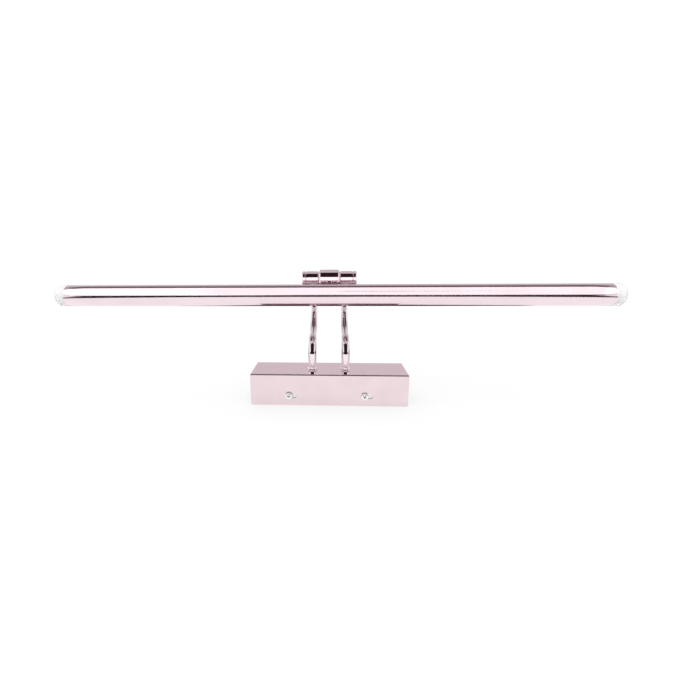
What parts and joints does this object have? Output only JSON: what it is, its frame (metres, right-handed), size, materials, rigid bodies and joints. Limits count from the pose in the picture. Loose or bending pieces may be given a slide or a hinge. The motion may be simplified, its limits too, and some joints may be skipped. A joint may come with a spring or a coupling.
{
  "type": "picture light",
  "caption": "Wall-mounted picture light: long metal LED tube on a tilting friction knuckle, held by curved swan-neck arms on a folded-metal wall box.",
  "frame": {"origin": "centre of the cover's outline on the wall plane", "axes": "+Z away from the wall, +X along the lamp tube, -Y towards the side with the cover screws that the picture shows"},
  "size_m": [0.54, 0.0794, 0.1348],
  "materials": {
    "bracket_zinc": "zinc-plated sheet",
    "grommet_rubber": "matt",
    "terminal_white": "moulded",
    "brass": "turned",
    "lead_insulation": "wire insulation",
    "earth_insulation": "wire insulation",
    "zinc_screws": "zinc-plated",
    "driver_plastic": "fine texture",
    "circuit_board": "solder mask",
    "component_black": "moulded",
    "mirror_steel": "mirror-polished, pale rose cast",
    "screw_chrome": "plated, polished",
    "arm_chrome": "polished plating",
    "knuckle_chrome": "polished plating",
    "spring_steel": "hardened, oiled",
    "washer_nylon": "plain",
    "tube_chrome": "satin-polished plating, pale rose cast",
    "carrier_aluminium": "mill finish",
    "led_board_white": "white solder mask",
    "led_phosphor": "phosphor gel",
    "diffuser_frosted": "opal",
    "seal_silicone": "translucent white",
    "cap_clear": "clear acrylic, slightly milky"
  },
  "bodies": {
    "base": {"wall_bracket": "bracket_zinc", "cable_grommet": "grommet_rubber", "terminal_block": "terminal_white", "terminal_screws": "brass", "mains_leads": "lead_insulation", "earth_screw": "zinc_screws", "earth_lead": "earth_insulation", "driver_case": "driver_plastic", "driver_lid": "driver_plastic", "driver_board": "circuit_board", "driver_components": "component_black", "driver_screws": "zinc_screws", "cover_box": "mirror_steel", "cover_screws": "screw_chrome", "arm_left": "arm_chrome", "arm_right": "arm_chrome", "arm_rosettes": "arm_chrome", "arm_washers": "zinc_screws", "arm_nuts": "zinc_screws", "arm_leads": "lead_insulation", "barrel_left": "knuckle_chrome", "barrel_right": "knuckle_chrome", "barrel_cap_left": "knuckle_chrome", "barrel_cap_right": "knuckle_chrome", "hinge_tube": "zinc_screws", "hinge_nuts": "brass", "spring_washers": "spring_steel", "friction_washers": "washer_nylon"},
    "lamp": {"centre_barrel": "knuckle_chrome", "lamp_saddle": "knuckle_chrome", "saddle_screws": "zinc_screws", "lamp_shell": "tube_chrome", "led_carrier": "carrier_aluminium", "led_board": "led_board_white", "led_chips": "led_phosphor", "diffuser": "diffuser_frosted", "cap_seals": "seal_silicone", "end_cap_left": "cap_clear", "end_cap_right": "cap_clear", "lamp_leads": "lead_insulation"}
  },
  "joints": [
    {"name": "lamp_tilt", "type": "hinge", "parent": "base", "child": "lamp", "pos_m": [0, 0.008, 0.126], "axis": [1, 0, 0], "range_deg": [-120, 85]}
  ]
}
